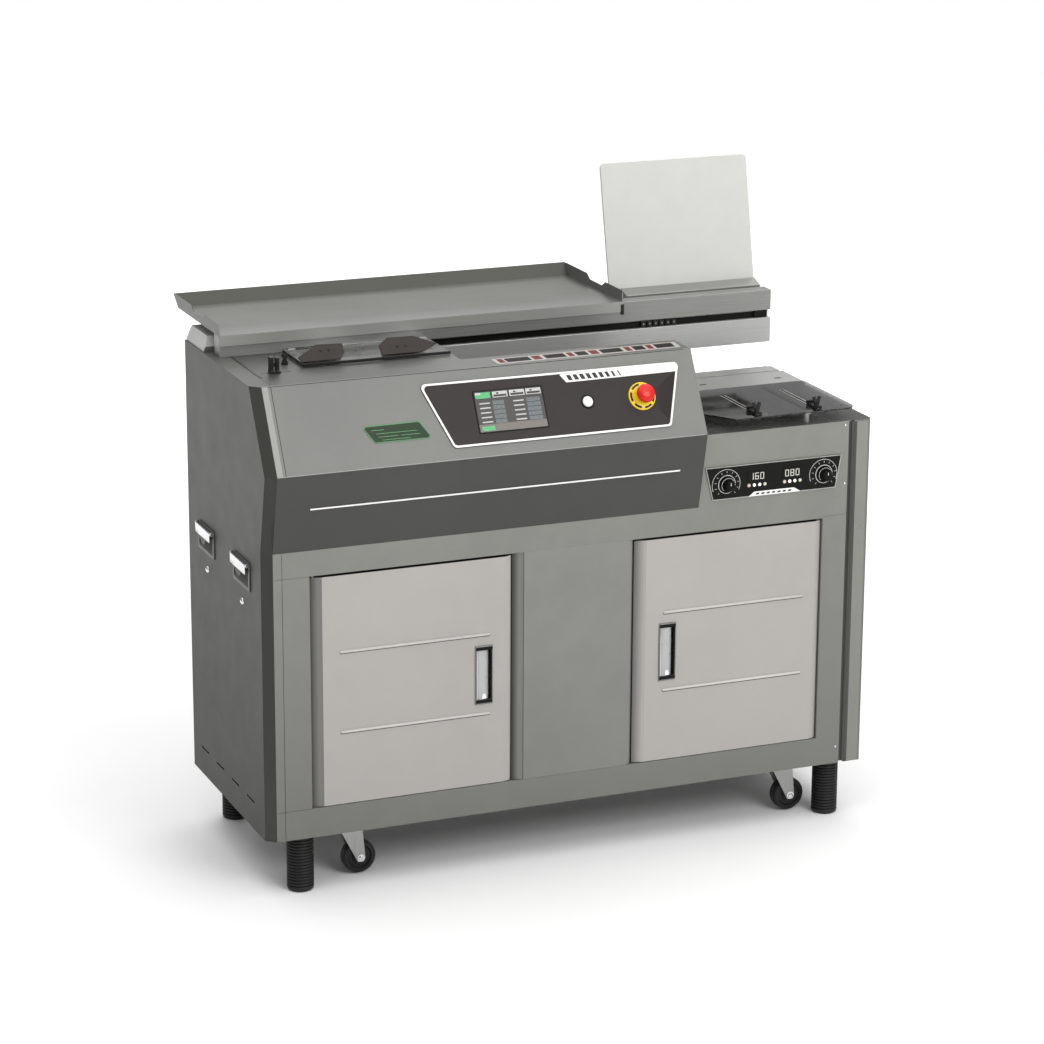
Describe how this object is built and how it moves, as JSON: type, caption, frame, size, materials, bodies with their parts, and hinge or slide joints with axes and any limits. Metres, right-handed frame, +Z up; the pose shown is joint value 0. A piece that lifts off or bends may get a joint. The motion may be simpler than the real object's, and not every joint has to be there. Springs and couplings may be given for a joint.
{
  "type": "perfect binding machine",
  "caption": "Perfect binding machine: cabinet with two hinged doors, sloped control console, clamp gantry with stop sheet, paper tray and cover table.",
  "frame": {"origin": "bottom centre of the whole machine's bounding box, on the floor", "axes": "+X along the machine to its right end (cover table), +Y from the front to the rear, +Z up"},
  "size_m": [1.26, 0.6264, 1.2756],
  "materials": {
    "front_paint": "satin",
    "side_paint": "satin",
    "dark_paint": "satin",
    "door_paint": "satin",
    "deck_metal": "satin",
    "beam_metal": "satin",
    "rod_steel": "polished",
    "tray_metal": "satin",
    "works_steel": "satin",
    "board_white": "matte",
    "clear_plastic": "gloss",
    "tinted_plastic": "gloss",
    "black_plastic": "matte",
    "fascia_film": "satin",
    "screen_glass": "gloss",
    "yellow_plastic": "gloss",
    "red_plastic": "gloss",
    "white_plastic": "gloss",
    "handle_chrome": "polished",
    "foot_rubber": "matte",
    "wheel_rubber": "matte",
    "fork_steel": "satin",
    "base_paint": "satin"
  },
  "bodies": {
    "chassis": {"base_pan": "base_paint", "centre_panel": "dark_paint", "console_lower_panel": "dark_paint", "console_shell": "front_paint", "control_fascia": "fascia_film", "end_block": "dark_paint", "equipment_shelf": "works_steel", "estop_collar": "yellow_plastic", "front_frame": "front_paint", "gantry_rear_beam": "beam_metal", "guard_hinge": "works_steel", "guide_rods": "rod_steel", "heater_plate": "black_plastic", "latch_bodies": "handle_chrome", "left_side_panel": "side_paint", "lower_beam": "beam_metal", "paper_tray": "tray_metal", "platform_deck": "front_paint", "rear_panel": "side_paint", "right_side_panel": "side_paint", "top_deck": "deck_metal", "touch_screen": "screen_glass", "upper_beam": "beam_metal"},
    "left_door_body": {"left_door": "door_paint", "left_door_handle": "handle_chrome"},
    "right_door_body": {"right_door": "door_paint", "right_door_handle": "handle_chrome"},
    "guard_body": {"clamp_guard": "clear_plastic", "guard_tabs": "tinted_plastic"},
    "rear_jaw_body": {"rear_jaw": "beam_metal", "stop_sheet": "board_white"},
    "shuttle": {"shuttle_frame": "works_steel", "glue_tank": "works_steel"},
    "roller_body": {"glue_roller": "rod_steel"},
    "cutter_body": {"milling_cutter": "works_steel"},
    "lift_table": {"cover_table": "works_steel", "cover_table_acrylic": "tinted_plastic"},
    "nip_body": {"rear_nip_plate": "works_steel"},
    "guide_1_body": {"cover_guide_1": "black_plastic"},
    "guide_2_body": {"cover_guide_2": "black_plastic"},
    "gauge_body": {"side_gauge": "black_plastic"},
    "wing_body": {"wing_knob": "black_plastic"},
    "start_body": {"start_button": "white_plastic"},
    "estop_body": {"estop_button": "red_plastic"},
    "heater_left_body": {"heater_knob_left": "black_plastic"},
    "heater_right_body": {"heater_knob_right": "black_plastic"},
    "flap_rear_body": {"latch_flap_rear": "handle_chrome"},
    "flap_front_body": {"latch_flap_front": "handle_chrome"},
    "foot_front_left_body": {"foot_front_left": "foot_rubber"},
    "foot_front_right_body": {"foot_front_right": "foot_rubber"},
    "foot_rear_left_body": {"foot_rear_left": "foot_rubber"},
    "foot_rear_right_body": {"foot_rear_right": "foot_rubber"},
    "fork_front_left_body": {"caster_fork_front_left": "fork_steel"},
    "wheel_front_left_body": {"caster_wheel_front_left": "wheel_rubber"},
    "fork_front_right_body": {"caster_fork_front_right": "fork_steel"},
    "wheel_front_right_body": {"caster_wheel_front_right": "wheel_rubber"},
    "fork_rear_left_body": {"caster_fork_rear_left": "fork_steel"},
    "wheel_rear_left_body": {"caster_wheel_rear_left": "wheel_rubber"},
    "fork_rear_right_body": {"caster_fork_rear_right": "fork_steel"},
    "wheel_rear_right_body": {"caster_wheel_rear_right": "wheel_rubber"}
  },
  "joints": [
    {"name": "left_door_hinge", "type": "hinge", "parent": "chassis", "child": "left_door_body", "pos_m": [-0.523, -0.2715, 0.399], "axis": [0, 0, -1], "range_deg": [0, 95]},
    {"name": "right_door_hinge", "type": "hinge", "parent": "chassis", "child": "right_door_body", "pos_m": [0.5195, -0.2715, 0.399], "axis": [0, 0, 1], "range_deg": [0, 90]},
    {"name": "guard_hinge_turn", "type": "hinge", "parent": "chassis", "child": "guard_body", "pos_m": [-0.33, 0.0142, 0.9849], "axis": [-1, 0, 0], "range_deg": [0, 86]},
    {"name": "rear_jaw_open", "type": "slide", "parent": "chassis", "child": "rear_jaw_body", "axis": [0, 1, 0], "range_m": [0, 0.04]},
    {"name": "shuttle_travel", "type": "slide", "parent": "chassis", "child": "shuttle", "axis": [-1, 0, 0], "range_m": [-0.8, 0]},
    {"name": "glue_roller_spin", "type": "hinge", "parent": "shuttle", "child": "roller_body", "pos_m": [-0.308, 0.0212, 0.89], "axis": [0, 1, 0], "continuous": true},
    {"name": "milling_cutter_spin", "type": "hinge", "parent": "shuttle", "child": "cutter_body", "pos_m": [-0.242, 0.0542, 0.873], "axis": [0, 0, 1], "continuous": true},
    {"name": "cover_table_lift", "type": "slide", "parent": "chassis", "child": "lift_table", "axis": [0, 0, 1], "range_m": [0, 0.05]},
    {"name": "rear_nip_close", "type": "slide", "parent": "lift_table", "child": "nip_body", "axis": [0, -1, 0], "range_m": [0, 0.005]},
    {"name": "cover_guide_1_slide", "type": "slide", "parent": "lift_table", "child": "guide_1_body", "axis": [0, 1, 0], "range_m": [0, 0.14]},
    {"name": "cover_guide_2_slide", "type": "slide", "parent": "lift_table", "child": "guide_2_body", "axis": [0, 1, 0], "range_m": [0, 0.14]},
    {"name": "side_gauge_slide", "type": "slide", "parent": "chassis", "child": "gauge_body", "axis": [1, 0, 0], "range_m": [-0.018, 0.022]},
    {"name": "wing_knob_turn", "type": "hinge", "parent": "chassis", "child": "wing_body", "pos_m": [-0.5045, -0.0728, 0.983], "axis": [0, 0, 1], "continuous": true},
    {"name": "start_press", "type": "slide", "parent": "chassis", "child": "start_body", "axis": [0, 0.8706, -0.492], "range_m": [0, 0.003], "stiffness_N_per_m": 200, "springref_m": -0.001},
    {"name": "estop_press", "type": "slide", "parent": "chassis", "child": "estop_body", "axis": [0, 0.8706, -0.492], "range_m": [0, 0.005]},
    {"name": "heater_left_turn", "type": "hinge", "parent": "chassis", "child": "heater_left_body", "pos_m": [0.317, -0.2788, 0.718], "axis": [0, -1, 0], "range_deg": [-135, 135]},
    {"name": "heater_right_turn", "type": "hinge", "parent": "chassis", "child": "heater_right_body", "pos_m": [0.526, -0.2788, 0.718], "axis": [0, -1, 0], "range_deg": [-135, 135]},
    {"name": "latch_flap_rear_turn", "type": "hinge", "parent": "chassis", "child": "flap_rear_body", "pos_m": [-0.627, 0.0672, 0.636], "axis": [0, 1, 0], "range_deg": [0, 85]},
    {"name": "latch_flap_front_turn", "type": "hinge", "parent": "chassis", "child": "flap_front_body", "pos_m": [-0.627, -0.1528, 0.636], "axis": [0, 1, 0], "range_deg": [0, 85]},
    {"name": "foot_front_left_screw", "type": "slide", "parent": "chassis", "child": "foot_front_left_body", "axis": [0, 0, -1], "range_m": [0, 0.025]},
    {"name": "foot_front_right_screw", "type": "slide", "parent": "chassis", "child": "foot_front_right_body", "axis": [0, 0, -1], "range_m": [0, 0.025]},
    {"name": "foot_rear_left_screw", "type": "slide", "parent": "chassis", "child": "foot_rear_left_body", "axis": [0, 0, -1], "range_m": [0, 0.025]},
    {"name": "foot_rear_right_screw", "type": "slide", "parent": "chassis", "child": "foot_rear_right_body", "axis": [0, 0, -1], "range_m": [0, 0.025]},
    {"name": "caster_front_left_swivel", "type": "hinge", "parent": "chassis", "child": "fork_front_left_body", "pos_m": [-0.437, -0.2068, 0.103], "axis": [0, 0, 1], "continuous": true},
    {"name": "caster_front_left_roll", "type": "hinge", "parent": "fork_front_left_body", "child": "wheel_front_left_body", "pos_m": [-0.416, -0.2068, 0.035], "axis": [0, 1, 0], "continuous": true},
    {"name": "caster_front_right_swivel", "type": "hinge", "parent": "chassis", "child": "fork_front_right_body", "pos_m": [0.48, -0.2068, 0.103], "axis": [0, 0, 1], "continuous": true},
    {"name": "caster_front_right_roll", "type": "hinge", "parent": "fork_front_right_body", "child": "wheel_front_right_body", "pos_m": [0.501, -0.2068, 0.035], "axis": [0, 1, 0], "continuous": true},
    {"name": "caster_rear_left_swivel", "type": "hinge", "parent": "chassis", "child": "fork_rear_left_body", "pos_m": [-0.437, 0.1212, 0.103], "axis": [0, 0, 1], "continuous": true},
    {"name": "caster_rear_left_roll", "type": "hinge", "parent": "fork_rear_left_body", "child": "wheel_rear_left_body", "pos_m": [-0.416, 0.1212, 0.035], "axis": [0, 1, 0], "continuous": true},
    {"name": "caster_rear_right_swivel", "type": "hinge", "parent": "chassis", "child": "fork_rear_right_body", "pos_m": [0.48, 0.1212, 0.103], "axis": [0, 0, 1], "continuous": true},
    {"name": "caster_rear_right_roll", "type": "hinge", "parent": "fork_rear_right_body", "child": "wheel_rear_right_body", "pos_m": [0.501, 0.1212, 0.035], "axis": [0, 1, 0], "continuous": true}
  ]
}
